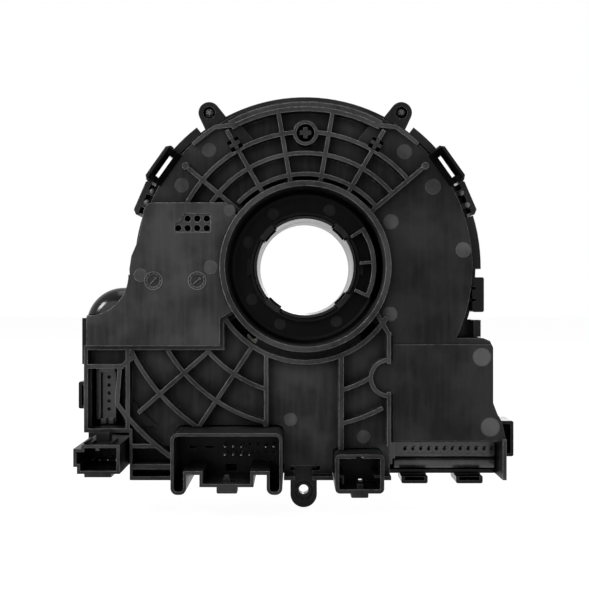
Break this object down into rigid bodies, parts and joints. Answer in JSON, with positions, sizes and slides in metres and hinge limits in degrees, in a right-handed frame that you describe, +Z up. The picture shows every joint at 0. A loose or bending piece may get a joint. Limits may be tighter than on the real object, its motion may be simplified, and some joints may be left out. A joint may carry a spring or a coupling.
{
  "type": "steering clock spring",
  "caption": "Steering column clock spring with angle sensor: ribbed black rear cover round a central bore, vehicle headers below, turning rotor with wheel sockets in front.",
  "frame": {"origin": "On the steering axis, level with the tops of the rear cover's ribs", "axes": "+Y along the steering axis towards the wheel, +Z up, +X right when seen from the column side"},
  "size_m": [0.1384, 0.062, 0.1312],
  "materials": {
    "cover_black": "fine moulded texture, satin black",
    "housing_black": "smooth black moulding",
    "tray_black": "satin black moulding",
    "board_green": "green solder mask",
    "header_black": "glass-filled satin black",
    "strip_black": "smooth black moulding",
    "tin_contact": "bright tin plate",
    "screw_steel": "dark zinc plate",
    "chip_black": "moulded epoxy",
    "rotor_black": "smooth low-friction black",
    "gear_natural": "natural acetal",
    "magnet_grey": "sintered magnet",
    "cable_film": "clear polyester over tinned copper",
    "socket_yellow": "satin yellow"
  },
  "bodies": {
    "stator": {"rear_cover": "cover_black", "front_housing": "housing_black", "cable_tray": "tray_black", "circuit_board": "board_green", "main_header": "header_black", "side_header": "header_black", "switch_header": "header_black", "main_header_pins": "tin_contact", "side_header_pins": "tin_contact", "switch_header_pins": "tin_contact", "left_contact_strip": "strip_black", "right_contact_strip": "strip_black", "strip_contacts": "tin_contact", "lug_screw_left": "screw_steel", "lug_screw_right": "screw_steel", "board_screws": "screw_steel", "angle_chips": "chip_black", "tray_terminal": "tray_black", "flat_cable": "cable_film"},
    "rotor": {"rotor_hub": "rotor_black", "angle_gear": "gear_natural", "rotor_terminal": "rotor_black", "airbag_socket": "socket_yellow", "airbag_pins": "tin_contact", "wheel_header": "header_black", "wheel_header_pins": "tin_contact"},
    "gear_a": {"sensor_gear_a": "gear_natural", "magnet_a": "magnet_grey"},
    "gear_b": {"sensor_gear_b": "gear_natural", "magnet_b": "magnet_grey"}
  },
  "joints": [
    {"name": "rotor_turn", "type": "hinge", "parent": "stator", "child": "rotor", "pos_m": [0, 0, 0], "axis": [0, 1, 0], "range_deg": [-900, 900], "deforming": ["flat_cable"]},
    {"name": "gear_a_turn", "type": "hinge", "parent": "stator", "child": "gear_a", "pos_m": [-0.01479, 0.0175, -0.03172], "axis": [0, 1, 0], "range_deg": [-2260, 2260]},
    {"name": "gear_b_turn", "type": "hinge", "parent": "stator", "child": "gear_b", "pos_m": [0.01163, 0.0175, -0.03195], "axis": [0, 1, 0], "range_deg": [-2510, 2510]}
  ],
  "couplings": [
    {"joint": "gear_a_turn", "follows": "rotor_turn", "ratio": -2.5},
    {"joint": "gear_b_turn", "follows": "rotor_turn", "ratio": -2.7778}
  ]
}
